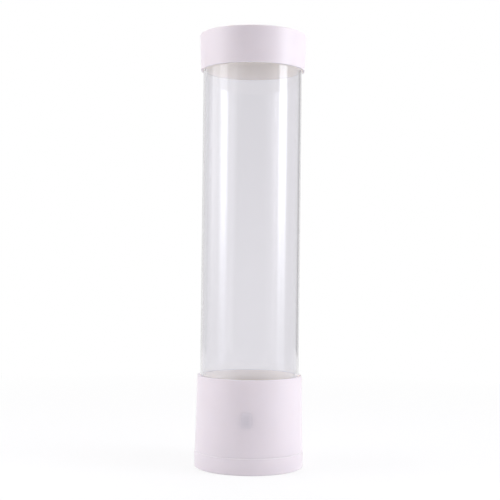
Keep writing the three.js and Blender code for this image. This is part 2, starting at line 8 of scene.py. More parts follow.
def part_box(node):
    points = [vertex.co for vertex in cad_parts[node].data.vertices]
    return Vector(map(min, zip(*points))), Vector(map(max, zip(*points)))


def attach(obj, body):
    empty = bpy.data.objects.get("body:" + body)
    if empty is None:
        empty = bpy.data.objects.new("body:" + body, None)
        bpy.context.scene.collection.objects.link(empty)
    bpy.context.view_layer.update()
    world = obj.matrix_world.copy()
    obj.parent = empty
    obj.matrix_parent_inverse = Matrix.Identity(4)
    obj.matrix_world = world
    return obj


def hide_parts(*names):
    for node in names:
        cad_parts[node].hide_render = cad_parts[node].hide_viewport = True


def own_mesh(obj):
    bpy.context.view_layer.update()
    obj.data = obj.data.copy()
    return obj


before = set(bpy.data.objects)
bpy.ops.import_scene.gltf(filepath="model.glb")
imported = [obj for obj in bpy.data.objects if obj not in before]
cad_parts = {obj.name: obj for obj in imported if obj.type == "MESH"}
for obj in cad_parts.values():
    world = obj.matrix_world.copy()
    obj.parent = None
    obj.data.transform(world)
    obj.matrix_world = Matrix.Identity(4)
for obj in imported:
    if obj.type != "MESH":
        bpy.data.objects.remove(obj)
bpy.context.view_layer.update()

# Camera: level with the middle of the tube, a metre in front and a little to the right of the
# button, as the photograph was taken. Its slight roll is the lean of the object in the picture.
PIXELS = 500
FOCAL_PIXELS = 1043.6
SENSOR = 36.0
CAMERA_DISTANCE = 1.0633
CAMERA_HEIGHT = 0.2072
CAMERA_ROLL = 0.0112
CAMERA_TURN = math.radians(3.0)
MIDDLE_X_PIXELS = 250.7
HORIZON_Y_PIXELS = 261.8

camera = bpy.data.objects.new("camera", bpy.data.cameras.new("camera"))
bpy.context.scene.collection.objects.link(camera)
camera.data.sensor_width = SENSOR
camera.data.lens = FOCAL_PIXELS / PIXELS * SENSOR
camera.data.shift_x = (PIXELS / 2 - MIDDLE_X_PIXELS) / PIXELS
camera.data.shift_y = (HORIZON_Y_PIXELS - PIXELS / 2) / PIXELS
camera.location = (
    CAMERA_DISTANCE * math.sin(CAMERA_TURN), -CAMERA_DISTANCE * math.cos(CAMERA_TURN), CAMERA_HEIGHT)
camera.rotation_euler = (math.pi / 2, -CAMERA_ROLL, CAMERA_TURN)
bpy.context.scene.camera = camera
bpy.context.scene.view_settings.view_transform = "Standard"

# Cap: a push-on lid injection moulded in white ABS, its skirt outside the tube and a short
# spigot inside it. The mould leaves soft edges and a small gate mark in the middle of the top.
MM = 0.001
FULL_TURN = math.tau
LATHE_STEPS = 256
LATHE_MERGE = 1e-7
SUPPORT = 0.35 * MM
LONG_STRETCH = 6 * SUPPORT
EDGE_SEGMENTS = 5
CAP_SKIRT_INNER = 50.3 * MM
TUBE_CLEARANCE = 50.6 * MM
LOOKS_UP = 0.5
CAP_RIM_RADIUS = 52.7 * MM
CAP_PLATE = 2.5 * MM
CAP_SPIGOT_RADIUS = 47.7 * MM
CAP_SPIGOT_WALL = 1.9 * MM
CAP_SPIGOT_DEPTH = 6.5 * MM
CAP_EDGE = 1.3 * MM
CAP_RIM_EDGE = 0.5 * MM
CAP_INNER_EDGE = 0.5 * MM
CAP_SPIGOT_EDGES = (0.4 * MM, 0.6 * MM)
GATE_RADIUS = 2.2 * MM
GATE_DEPTH = 0.3 * MM
ABS_WHITE = "#e1d9df"
ABS_SHADE = "#dcd4da"
ABS_GLOW = (0.3, 4 * MM)
ABS_ROUGHNESS = 0.35
PLASTIC_IOR = 1.53
# Inner faces: a lighter warm cream, painted light standing in for light through the wall.
INNER_PAINTED_GLOW = "#fdebd2"
INNER_PAINTED_GLOW_CLOUD = "#fae6cb"
INNER_GLOW = (1.0, 40 * MM)
INNER_ROUGHNESS = 0.5
NO_GLOW = (0, 1 * MM)
GLOW_TINT = (1.0, 0.9, 0.8)
CLOUD_SIZE = 35 * MM
WEAR_SIZE = 9 * MM
WEAR_SPREAD = (-0.03, 0.04)
WEAR_NOISE = (0.3, 0.7)
PEEL_SIZE = 1.6 * MM
PEEL_DEPTH = 0.012 * MM
PEEL_STRENGTH = 0.35


def linear(hex_colour):
    """A hex sRGB colour as linear RGBA."""
    parts = [int(hex_colour[i:i + 2], 16) / 255 for i in (1, 3, 5)]
    return [p / 12.92 if p <= 0.04045 else ((p + 0.055) / 1.055) ** 2.4 for p in parts] + [1.0]


def add_node(tree, kind, inputs=None, **settings):
    """A node with its settings and its inputs, each a value or the socket that feeds it."""
    node = tree.nodes.new(kind)
    for key, value in settings.items():
        setattr(node, key, value)
    for key, value in (inputs or {}).items():
        if isinstance(value, bpy.types.NodeSocket):
            tree.links.new(value, node.inputs[key])
        else:
            node.inputs[key].default_value = value
    return node


def new_material(name):
    """An empty material and its node tree."""
    material = bpy.data.materials.new(name)
    material.use_nodes = True
    material.node_tree.nodes.clear()
    return material, material.node_tree


def moulded_plastic(name, colour, shade, roughness, glow=NO_GLOW):
    """Injection-moulded plastic: a faint cloudiness, the shallow orange peel of the mould's polish,
    and the warm glow of light that comes through a thin pale wall.

    The peel's waves are about 1.6 mm long, as on a real polished moulding.
    """
    material, tree = new_material(name)
    place = add_node(tree, "ShaderNodeTexCoord").outputs["Object"]
    cloud = add_node(tree, "ShaderNodeTexNoise", {
        "Vector": place, "Scale": 1 / CLOUD_SIZE, "Detail": 2.0})
    tint = add_node(tree, "ShaderNodeMix", {0: cloud.outputs["Fac"]}, data_type="RGBA")
    tint.inputs["A"].default_value = linear(colour)
    tint.inputs["B"].default_value = linear(shade)
    wear = add_node(tree, "ShaderNodeTexNoise", {
        "Vector": place, "Scale": 1 / WEAR_SIZE, "Detail": 4.0})
    rough = add_node(tree, "ShaderNodeMapRange", {
        "Value": wear.outputs["Fac"], "From Min": WEAR_NOISE[0], "From Max": WEAR_NOISE[1],
        "To Min": roughness + WEAR_SPREAD[0], "To Max": roughness + WEAR_SPREAD[1]})
    grain = add_node(tree, "ShaderNodeTexNoise", {
        "Vector": place, "Scale": 1 / PEEL_SIZE, "Detail": 2.0})
    bump = add_node(tree, "ShaderNodeBump", {
        "Height": grain.outputs["Fac"], "Strength": PEEL_STRENGTH, "Distance": PEEL_DEPTH})
    shader = add_node(tree, "ShaderNodeBsdfPrincipled", {
        "Base Color": tint.outputs["Result"], "Roughness": rough.outputs["Result"],
        "Normal": bump.outputs["Normal"], "IOR": PLASTIC_IOR, "Subsurface Weight": glow[0],
        "Subsurface Radius": GLOW_TINT, "Subsurface Scale": glow[1]})
    add_node(tree, "ShaderNodeOutputMaterial", {"Surface": shader.outputs["BSDF"]})
    return material


def profile_of(bm, corners):
    """Joins (radius, height, rounding) corners by edges in the XZ plane and rounds them.

    A vertex near each end of a long stretch keeps its shading straight.
    """
    verts = [bm.verts.new((radius, 0, height)) for radius, height, _ in corners]
    closed = corners[0][0] > 0 or corners[-1][0] > 0
    for a, b in zip(verts, verts[1:] + verts[:1] if closed else verts[1:]):
        bm.edges.new((a, b))
    for vert, (_, _, rounding) in zip(verts, corners):
        if rounding:
            bmesh.ops.bevel(
                bm, geom=[vert], offset=rounding, segments=EDGE_SEGMENTS, profile=0.5,
                affect="VERTICES", clamp_overlap=True, material=-1)
    for edge in [e for e in bm.edges if e.calc_length() > LONG_STRETCH]:
        end = edge.verts[0]
        for _ in range(2):
            other, added = bmesh.utils.edge_split(edge, end, SUPPORT / edge.calc_length())
            edge = max(edge, other, key=lambda e: e.calc_length())
            end = edge.other_vert(added)


def turned(corners, steps=LATHE_STEPS):
    """A mesh of revolution about the dispenser's axis."""
    bm = bmesh.new()
    profile_of(bm, corners)
    bmesh.ops.spin(
        bm, geom=bm.verts[:] + bm.edges[:], cent=(0, 0, 0), axis=(0, 0, 1), angle=FULL_TURN,
        steps=steps, use_merge=True, use_duplicate=False)
    bmesh.ops.remove_doubles(bm, verts=bm.verts, dist=LATHE_MERGE)
    bmesh.ops.recalc_face_normals(bm, faces=bm.faces)
    return bm


def lies_round_tube(face):
    """Tells the faces within the tube's clearance that look neither outwards nor up."""
    middle = face.calc_center_median()
    outward = Vector((middle.x, middle.y, 0))
    inside = outward.length < TUBE_CLEARANCE
    return inside and face.normal.dot(outward) <= 0 and face.normal.z < LOOKS_UP


def piece_from(
        bm, name, material, body, node, sharp_degrees=40, second=None, takes_second=None):
    """Makes the finished mesh an object that stands for a CAD node and moves with its body.

    second is the finish of the faces that takes_second picks.
    """
    for face in bm.faces if second else ():
        face.material_index = 1 if takes_second(face) else 0
    mesh = bpy.data.meshes.new(name)
    bm.to_mesh(mesh)
    bm.free()
    for polygon in mesh.polygons:
        polygon.use_smooth = True
    mesh.set_sharp_from_angle(angle=math.radians(sharp_degrees))
    for finish in [material] + ([second] if second else []):
        mesh.materials.append(finish)
    piece = bpy.data.objects.new(name, mesh)
    bpy.context.scene.collection.objects.link(piece)
    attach(piece, body)
    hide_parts(node)
    return piece


# Gives the eye a pale, slightly pink white with broad soft highlights.
white_abs = moulded_plastic(
    "moulded_white_abs", ABS_WHITE, ABS_SHADE, ABS_ROUGHNESS, ABS_GLOW)
# Painted light: the same ABS in a lighter warm cream for the faces round the tube, painted to stand
# in for light coming through the wall from behind. Its deep subsurface glow passes some real light
# as well.
painted_glow_abs = moulded_plastic(
    "abs_painted_backlight", INNER_PAINTED_GLOW, INNER_PAINTED_GLOW_CLOUD, INNER_ROUGHNESS, INNER_GLOW)

cap_low, cap_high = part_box("cap")
cap_plate_bottom = cap_high.z - CAP_PLATE
spigot_inner = CAP_SPIGOT_RADIUS - CAP_SPIGOT_WALL
cap_mesh = turned([
    (0, cap_plate_bottom, 0),
    (spigot_inner, cap_plate_bottom, CAP_INNER_EDGE),
    (spigot_inner, cap_plate_bottom - CAP_SPIGOT_DEPTH, CAP_SPIGOT_EDGES[0]),
    (CAP_SPIGOT_RADIUS, cap_plate_bottom - CAP_SPIGOT_DEPTH, CAP_SPIGOT_EDGES[1]),
    (CAP_SPIGOT_RADIUS, cap_plate_bottom, 0),
    (CAP_SKIRT_INNER, cap_plate_bottom, 0),
    (CAP_SKIRT_INNER, cap_low.z, CAP_RIM_EDGE),
    (CAP_RIM_RADIUS, cap_low.z, CAP_RIM_EDGE),
    (cap_high.x, cap_high.z, CAP_EDGE),
    (GATE_RADIUS, cap_high.z, GATE_DEPTH / 2),
    (GATE_RADIUS - GATE_DEPTH, cap_high.z - GATE_DEPTH, GATE_DEPTH / 3),
    (0, cap_high.z - GATE_DEPTH, 0),
])
# The cap's faces round the tube take the painted backlight cream.
piece_from(
    cap_mesh, "push_on_cap", white_abs, "lid", "cap",
    second=painted_glow_abs, takes_second=lies_round_tube)

# Tube: clear acrylic, extruded and sawn to length, with its sawn ends lightly broken.
# The die leaves very faint lines along it, which the light draws out as soft upright streaks.
TUBE_WALL = 2 * MM
TUBE_END = 0.4 * MM
ACRYLIC_TINT = "#f1f0f3"
ACRYLIC_DEPTH = "#cfcdd3"
ACRYLIC_DENSITY = 22.0
ACRYLIC_SHADOW = "#f6f6f8"
ACRYLIC_ROUGHNESS = 0.015
ACRYLIC_IOR = 1.49
DIE_LINE_WIDTH = 6 * MM
DIE_LINE_SQUEEZE = 0.003
DIE_LINE_DEPTH = 0.02 * MM
DIE_LINE_STRENGTH = 0.12


def extruded_acrylic():
    """Clear acrylic with drawn-out die lines, glassy and faintly grey; shadows pass it.

    Real die lines lie well under a millimetre apart. They are drawn 6 mm wide to show at all.
    """
    material, tree = new_material("extruded_clear_acrylic")
    place = add_node(tree, "ShaderNodeTexCoord").outputs["Object"]
    along = add_node(tree, "ShaderNodeMapping", {
        "Vector": place, "Scale": (1, 1, DIE_LINE_SQUEEZE)})
    lines = add_node(tree, "ShaderNodeTexNoise", {
        "Vector": along.outputs["Vector"], "Scale": 1 / DIE_LINE_WIDTH, "Detail": 2.0})
    bump = add_node(tree, "ShaderNodeBump", {
        "Height": lines.outputs["Fac"], "Strength": DIE_LINE_STRENGTH, "Distance": DIE_LINE_DEPTH})
    clear = add_node(tree, "ShaderNodeBsdfPrincipled", {
        "Base Color": linear(ACRYLIC_TINT), "Roughness": ACRYLIC_ROUGHNESS, "IOR": ACRYLIC_IOR,
        "Transmission Weight": 1.0, "Normal": bump.outputs["Normal"]})
    passing = add_node(tree, "ShaderNodeBsdfTransparent", {"Color": linear(ACRYLIC_SHADOW)})
    shadow = add_node(tree, "ShaderNodeLightPath").outputs["Is Shadow Ray"]
    mixed = add_node(tree, "ShaderNodeMixShader", {
        0: shadow, 1: clear.outputs["BSDF"], 2: passing.outputs["BSDF"]})
    depth = add_node(tree, "ShaderNodeVolumeAbsorption", {
        "Color": linear(ACRYLIC_DEPTH), "Density": ACRYLIC_DENSITY})
    add_node(tree, "ShaderNodeOutputMaterial", {
        "Surface": mixed.outputs["Shader"], "Volume": depth.outputs["Volume"]})
    return material


tube_low, tube_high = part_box("tube")
bore = tube_high.x - TUBE_WALL
tube_mesh = turned([
    (bore, tube_low.z, TUBE_END),
    (tube_high.x, tube_low.z, TUBE_END),
    (tube_high.x, tube_high.z, TUBE_END),
    (bore, tube_high.z, TUBE_END),
])
piece_from(tube_mesh, "cup_tube", extruded_acrylic(), "dispenser", "tube")

# Base housing: the outer shell of the base, moulded in the cap's white ABS. The tube stands in
# its socket, the mechanism hangs below its ledge, and the wall bracket slides into its rear pad.
HOUSING_CAVITY = 51.2 * MM
HOUSING_SOCKET = 50.3 * MM
HOUSING_RIM_RADIUS = 53.05 * MM
HOUSING_LEDGE_RADIUS = 46.0 * MM
HOUSING_LEDGE = (63.3 * MM, 66.0 * MM)
HOUSING_RIM_EDGE = 0.9 * MM
HOUSING_FOOT_EDGE = 0.05 * MM
HOUSING_LEDGE_EDGE = 0.3 * MM
HOUSING_CAVITY_EDGE = 0.5 * MM
BOSS_RADIUS = 3.2 * MM
BOSS_BORE = 1.75 * MM
BOSS_CIRCLE = 48.4 * MM
BOSS_ANGLE = math.radians(60)
BOSS_GAP = 0.3 * MM
BOSS_BORE_HEIGHT = 11 * MM
TRAY_PLATE = 2.7 * MM
POST_SEGMENTS = 32
PAD_WIDTH = 46 * MM
PAD_HEIGHTS = (18 * MM, 82 * MM)
PAD_CORNER = 3 * MM
PAD_START = 40 * MM
PAD_ROUNDED_FROM = 50 * MM
PAD_SEGMENTS = 6
HOLLOW_CLEARANCE = 0.02 * MM
HOLLOW_STEPS = 128
CHANNEL_WIDTH = 36 * MM
CHANNEL_MOUTH = 31 * MM
CHANNEL_DEPTH = 2.6 * MM
CHANNEL_TOP = 76 * MM
LUG_COUNT = 3
LUG_HEIGHTS = (20.7 * MM, 24.3 * MM)
GROOVE_HALF_ANGLE = math.radians(6.4)
LUG_TURN = math.radians(20)
GROOVE_RADIUS = 52.9 * MM
SECTOR_STEPS = 12
ENTRY_OVERLAP = 0.1 * MM
PAST = 1 * MM
UPRIGHT = 1e-6


def solid_prism(outline, start, end, axis="Z", edge=0, segments=4):
    """A bmesh prism from an outline of (x, y) points, with its upright edges rounded."""
    bm = bmesh.new()
    face = bm.faces.new([bm.verts.new((x, y, start)) for x, y in outline])
    grown = bmesh.ops.extrude_face_region(bm, geom=[face])
    moved = [v for v in grown["geom"] if isinstance(v, bmesh.types.BMVert)]
    bmesh.ops.translate(bm, verts=moved, vec=(0, 0, end - start))
    bmesh.ops.recalc_face_normals(bm, faces=bm.faces)
    if edge:
        upright = [e for e in bm.edges if abs(e.verts[0].co.z - e.verts[1].co.z) > UPRIGHT]
        bmesh.ops.bevel(
            bm, geom=upright, offset=edge, segments=segments, profile=0.5, affect="EDGES",
            material=-1)
    if axis == "Y":
        quarter = Matrix.Rotation(math.pi / 2, 3, "X")
        bmesh.ops.rotate(bm, verts=bm.verts, cent=(0, 0, 0), matrix=quarter)
    return bm


def rectangle(half_width, half_height):
    """An outline round the origin."""
    return [
        (-half_width, -half_height), (half_width, -half_height),
        (half_width, half_height), (-half_width, half_height)]


def post(radius, x, y, low, high):
    """An upright cylinder."""
    bm = bmesh.new()
    bmesh.ops.create_cone(
        bm, cap_ends=True, segments=POST_SEGMENTS, radius1=radius, radius2=radius,
        depth=high - low, matrix=Matrix.Translation((x, y, (low + high) / 2)))
    return bm


def ring_sector(inner, outer, start, end, low, high):
    """A stretch of a square-section ring about the axis."""
    bm = bmesh.new()
    corners = [(inner, low), (outer, low), (outer, high), (inner, high)]
    turn = Matrix.Rotation(start, 3, "Z")
    face = bm.faces.new([bm.verts.new(turn @ Vector((0, -r, z))) for r, z in corners])
    bmesh.ops.spin(
        bm, geom=[face] + face.edges[:] + face.verts[:], cent=(0, 0, 0), axis=(0, 0, 1),
        angle=end - start, steps=SECTOR_STEPS)
    bmesh.ops.recalc_face_normals(bm, faces=bm.faces)
    return bm


def carve(bm, tool, operation="DIFFERENCE"):
    """Cuts the tool's solid away from the bmesh, or joins it, and returns a new bmesh."""
    objects = []
    for part in (bm, tool):
        mesh = bpy.data.meshes.new("carve")
        part.to_mesh(mesh)
        part.free()
        objects.append(bpy.data.objects.new("carve", mesh))
        bpy.context.scene.collection.objects.link(objects[-1])
    blank, cutter = objects
    modifier = blank.modifiers.new("carve", "BOOLEAN")
    modifier.object = cutter
    modifier.operation = operation
    modifier.solver = "EXACT"
    bpy.context.view_layer.update()
    shaped = blank.evaluated_get(bpy.context.evaluated_depsgraph_get())
    result = bmesh.new()
    result.from_mesh(shaped.to_mesh())
    shaped.to_mesh_clear()
    for item in objects:
        mesh = item.data
        bpy.data.objects.remove(item)
        bpy.data.meshes.remove(mesh)
    return result


BUTTON_GAP = 0.06 * MM
BUTTON_HALF_WIDTH = 5.25 * MM
BUTTON_CORNER = 2.2 * MM
BUTTON_CORNER_SEGMENTS = 8
BUTTON_FLANGE_MARGIN = 1.35 * MM
WALL_SPAN = (45 * MM, 60 * MM)
button_low, button_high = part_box("release_button")
button_half_height = (button_high.z - button_low.z) / 2 - BUTTON_FLANGE_MARGIN
button_centre = (button_high.z + button_low.z) / 2

housing_low, housing_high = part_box("base_housing")
pad_face = housing_high.y
housing = turned([
    (HOUSING_CAVITY, housing_low.z, HOUSING_FOOT_EDGE),
    (housing_high.x, housing_low.z, HOUSING_FOOT_EDGE),
    (HOUSING_RIM_RADIUS, housing_high.z, HOUSING_RIM_EDGE),
    (HOUSING_SOCKET, housing_high.z, HOUSING_RIM_EDGE / 2),
    (HOUSING_SOCKET, HOUSING_LEDGE[1], HOUSING_LEDGE_EDGE),
    (HOUSING_LEDGE_RADIUS, HOUSING_LEDGE[1], HOUSING_LEDGE_EDGE),
    (HOUSING_LEDGE_RADIUS, HOUSING_LEDGE[0], HOUSING_LEDGE_EDGE),
    (HOUSING_CAVITY, HOUSING_LEDGE[0], HOUSING_CAVITY_EDGE),
])
pad = solid_prism([
    (-PAD_WIDTH / 2, PAD_START), (PAD_WIDTH / 2, PAD_START),
    (PAD_WIDTH / 2, pad_face), (-PAD_WIDTH / 2, pad_face)], *PAD_HEIGHTS)
pad_edges = [e for e in pad.edges if min(v.co.y for v in e.verts) > PAD_ROUNDED_FROM]
bmesh.ops.bevel(
    pad, geom=pad_edges, offset=PAD_CORNER, segments=PAD_SEGMENTS, profile=0.5, affect="EDGES",
    material=-1)
hollow_radius = HOUSING_CAVITY + HOLLOW_CLEARANCE
hollow = turned([
    (0, PAD_HEIGHTS[0] - PAST, 0),
    (hollow_radius, PAD_HEIGHTS[0] - PAST, 0),
    (hollow_radius, PAD_HEIGHTS[1] + PAST, 0),
    (0, PAD_HEIGHTS[1] + PAST, 0),
], HOLLOW_STEPS)
housing = carve(housing, carve(pad, hollow), "UNION")
tray_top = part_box("mechanism_tray")[0].z + TRAY_PLATE
for side_x in (-1, 1):
    for side_y in (-1, 1):
        x = side_x * BOSS_CIRCLE * math.sin(BOSS_ANGLE)
        y = side_y * BOSS_CIRCLE * math.cos(BOSS_ANGLE)
        boss = carve(
            post(BOSS_RADIUS, x, y, tray_top + BOSS_GAP, HOUSING_LEDGE[0] + PAST),
            post(BOSS_BORE, x, y, tray_top - PAST, tray_top + BOSS_BORE_HEIGHT))
        housing = carve(housing, boss, "UNION")
for turn in range(LUG_COUNT):
    middle = turn * FULL_TURN / LUG_COUNT + math.pi / 2
    groove = ring_sector(
        HOUSING_CAVITY - PAST, GROOVE_RADIUS, middle - GROOVE_HALF_ANGLE,
        middle + LUG_TURN + GROOVE_HALF_ANGLE, *LUG_HEIGHTS)
    entry = ring_sector(
        HOUSING_CAVITY - PAST, GROOVE_RADIUS, middle + LUG_TURN - GROOVE_HALF_ANGLE,
        middle + LUG_TURN + GROOVE_HALF_ANGLE, housing_low.z - PAST,
        LUG_HEIGHTS[1] - ENTRY_OVERLAP)
    housing = carve(carve(housing, groove), entry)
aperture = solid_prism(
    rectangle(BUTTON_HALF_WIDTH + BUTTON_GAP, button_half_height + BUTTON_GAP),
    *WALL_SPAN, "Y", BUTTON_CORNER + BUTTON_GAP, BUTTON_CORNER_SEGMENTS)
bmesh.ops.translate(aperture, verts=aperture.verts, vec=(0, 0, button_centre))
housing = carve(housing, aperture)
channel_floor = pad_face - CHANNEL_DEPTH
slope = (CHANNEL_WIDTH - CHANNEL_MOUTH) / 2 / CHANNEL_DEPTH
channel = solid_prism([
    (-CHANNEL_WIDTH / 2, channel_floor),
    (CHANNEL_WIDTH / 2, channel_floor),
    (CHANNEL_MOUTH / 2 - PAST * slope, pad_face + PAST),
    (PAST * slope - CHANNEL_MOUTH / 2, pad_face + PAST),
], PAD_HEIGHTS[0] - PAST, CHANNEL_TOP)
housing = carve(housing, channel)
BUTTON_CORE = "#cfc9d0"
# The housing greys towards the button's colour round the button.
BUTTON_HALO_SHARE = 0.42
BUTTON_HALO_REACH = (3 * MM, 13 * MM)


def button_halo_abs():
    """The same white ABS, greyed softly towards the button's colour round the button and fading out
    13 mm from its middle.
    """
    material = moulded_plastic(
        "white_abs_button_halo", ABS_WHITE, ABS_SHADE, ABS_ROUGHNESS, ABS_GLOW)
    tree = material.node_tree
    shader = next(n for n in tree.nodes if n.type == "BSDF_PRINCIPLED")
    place = add_node(tree, "ShaderNodeTexCoord").outputs["Object"]
    away = add_node(tree, "ShaderNodeVectorMath", {
        0: place, 1: (0, -housing_high.x, button_centre)}, operation="DISTANCE")
    share = add_node(tree, "ShaderNodeMapRange", {
        "Value": away.outputs["Value"], "From Min": BUTTON_HALO_REACH[0], "From Max": BUTTON_HALO_REACH[1],
        "To Min": BUTTON_HALO_SHARE, "To Max": 0.0}, interpolation_type="SMOOTHSTEP")
    plain_tint = shader.inputs["Base Color"].links[0].from_socket
    tint = add_node(tree, "ShaderNodeMix", {0: share.outputs["Result"]}, data_type="RGBA")
    tree.links.new(plain_tint, tint.inputs["A"])
    tint.inputs["B"].default_value = linear(BUTTON_CORE)
    tree.links.new(tint.outputs["Result"], shader.inputs["Base Color"])
    return material


# The socket's faces round the tube take the painted backlight cream.
piece_from(
    housing, "base_shell", button_halo_abs(), "dispenser", "base_housing",
    sharp_degrees=30, second=painted_glow_abs, takes_second=lies_round_tube)

# Bottom ring: a separate white ABS moulding, a hair wider than the housing above it. Its spigot
# goes up inside the housing, where three lugs lock it, and its mouth lets the cups drop out.
RING_WALL = 2.8 * MM
RING_TOP_SLOPE = 0.6 * MM
RING_SLOPE_EDGE = 0.1 * MM
# The lip's colours are a painted highlight along the seam.
LIP_PAINTED_HIGHLIGHT = "#eee8ec"
LIP_PAINTED_HIGHLIGHT_CLOUD = "#eae3e8"
LIP_ROUGHNESS = 0.3
LIP_LOOKS_UP = 0.2
RING_EDGE = 0.4 * MM
RING_FOOT_EDGE = 1.1 * MM
RING_FOOT_INNER_EDGE = 0.3 * MM
RING_SHOULDER_EDGE = 0.2 * MM
RING_CONE_EDGES = (2 * MM, 0.5 * MM)
RING_SPIGOT = 50.9 * MM
RING_SPIGOT_WALL = 2 * MM
RING_MOUTH = 46.5 * MM
RING_LIP = 2 * MM
RING_WEB_STEP = 0.5 * MM
LUG_REACH = 52.6 * MM
LUG_HALF_ANGLE = math.radians(6)
LUG_PLAY = 0.3 * MM
RING_GAP = 0.03 * MM

ring_low, ring_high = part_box("bottom_ring")
ring_top = housing_low.z - RING_GAP
ring_web = ring_top - RING_WALL
ring_bore = RING_SPIGOT - RING_SPIGOT_WALL
ring = turned([
    (ring_high.x - RING_WALL, ring_low.z, RING_FOOT_INNER_EDGE),
    (ring_high.x, ring_low.z, RING_FOOT_EDGE),
    (ring_high.x, ring_top - RING_TOP_SLOPE, RING_SLOPE_EDGE),
    (housing_high.x, ring_top, RING_SLOPE_EDGE / 2),
    (RING_SPIGOT, ring_top, RING_SHOULDER_EDGE),
    (RING_SPIGOT, ring_high.z, RING_EDGE),
    (ring_bore, ring_high.z, RING_EDGE),
    (ring_bore, ring_top, RING_CONE_EDGES[0]),
    (RING_MOUTH, ring_low.z + RING_LIP, RING_CONE_EDGES[1]),
    (RING_MOUTH, ring_low.z + RING_LIP / 2, RING_EDGE),
    (RING_MOUTH + RING_LIP, ring_low.z + RING_LIP / 2, RING_EDGE),
    (ring_bore + RING_WEB_STEP, ring_web, RING_EDGE),
    (ring_high.x - RING_WALL, ring_web, RING_EDGE),
])
for turn in range(LUG_COUNT):
    middle = turn * FULL_TURN / LUG_COUNT + math.pi / 2
    lug = ring_sector(
        RING_SPIGOT - PAST, LUG_REACH, middle - LUG_HALF_ANGLE, middle + LUG_HALF_ANGLE,
        LUG_HEIGHTS[0] + LUG_PLAY, LUG_HEIGHTS[1] - LUG_PLAY)
    ring = carve(ring, lug, "UNION")
# The same ABS on the ring's sloping lip, glossier and a shade lighter. The lighter colour is a
# painted highlight, so the seam shows as a light line.
painted_highlight_lip_abs = moulded_plastic(
    "lip_abs_painted_highlight", LIP_PAINTED_HIGHLIGHT, LIP_PAINTED_HIGHLIGHT_CLOUD, LIP_ROUGHNESS, ABS_GLOW)


def lies_on_lip(face):
    """Tells the faces of the sloping lip at the ring's upper edge."""
    middle = face.calc_center_median()
    lowest = ring_top - RING_TOP_SLOPE - RING_SLOPE_EDGE
    outside = middle.xy.length > housing_high.x - RING_SLOPE_EDGE
    return outside and middle.z > lowest and face.normal.z > LIP_LOOKS_UP


# The lip's faces take the painted highlight.
piece_from(
    ring, "mouth_ring", white_abs, "ring", "bottom_ring", sharp_degrees=30,
    second=painted_highlight_lip_abs, takes_second=lies_on_lip)

# Release button: a small soft-touch pad almost flush with the housing, frosted a pale grey-blue
# that fades out towards its edge. Behind the wall it has a flange and a forked stem.
BUTTON_FLANGE = 1.5 * MM
BUTTON_EDGE = 0.15 * MM
BUTTON_EDGE_SEGMENTS = 4
RIM_SHARPNESS = math.radians(50)
RIM_BACK = -52.5 * MM
FRONT_HALF = 10 * MM
FRONT_SPAN = (-60 * MM, -49.5 * MM)
FLANGE_FRONT = -50.45 * MM
STEM_HALF = 4.8 * MM
STEM_OVERLAP = 0.5 * MM
STEM_REACH = 1.8 * MM
SLOT_HALF = 3.3 * MM
SLOT_PLAY = 0.3 * MM
TONGUE_LOW = 48.5 * MM
BUTTON_RIM = "#d9d2d9"
BUTTON_ROUGHNESS = 0.42
BUTTON_FADE = (0.05, 1.1)
FROST_SIZE = 0.4 * MM
FROST_DEPTH = 0.02 * MM
FROST_STRENGTH = 0.4


def frosted_button():
    """Matt moulded plastic with a cooler, darker middle, soft-edged like frosted glass.

    Real frosting is finer than a tenth of a millimetre. It is drawn 0.4 mm coarse to show at all.
    """
    material, tree = new_material("frosted_grey_button")
    place = add_node(tree, "ShaderNodeTexCoord").outputs["Object"]
    core = add_node(tree, "ShaderNodeMapping", {
        "Vector": place, "Location": (0, 0, -button_centre / button_half_height),
        "Scale": (1 / BUTTON_HALF_WIDTH, 0, 1 / button_half_height)})
    squared = add_node(tree, "ShaderNodeVectorMath", {
        0: core.outputs["Vector"], 1: core.outputs["Vector"]}, operation="MULTIPLY")
    reach = add_node(tree, "ShaderNodeVectorMath", {
        0: squared.outputs["Vector"]}, operation="LENGTH")
    fade = add_node(tree, "ShaderNodeMapRange", {
        "Value": reach.outputs["Value"], "From Min": BUTTON_FADE[0], "From Max": BUTTON_FADE[1],
        "To Min": 0.0, "To Max": 1.0}, interpolation_type="SMOOTHSTEP")
    tint = add_node(tree, "ShaderNodeMix", {0: fade.outputs["Result"]}, data_type="RGBA")
    tint.inputs["A"].default_value = linear(BUTTON_CORE)
    tint.inputs["B"].default_value = linear(BUTTON_RIM)
    frost = add_node(tree, "ShaderNodeTexNoise", {
        "Vector": place, "Scale": 1 / FROST_SIZE, "Detail": 2.0})
    bump = add_node(tree, "ShaderNodeBump", {
        "Height": frost.outputs["Fac"], "Strength": FROST_STRENGTH, "Distance": FROST_DEPTH})
    shader = add_node(tree, "ShaderNodeBsdfPrincipled", {
        "Base Color": tint.outputs["Result"], "Roughness": BUTTON_ROUGHNESS, "IOR": PLASTIC_IOR,
        "Normal": bump.outputs["Normal"], "Subsurface Weight": ABS_GLOW[0],
        "Subsurface Radius": GLOW_TINT, "Subsurface Scale": ABS_GLOW[1]})
    add_node(tree, "ShaderNodeOutputMaterial", {"Surface": shader.outputs["BSDF"]})
    return material


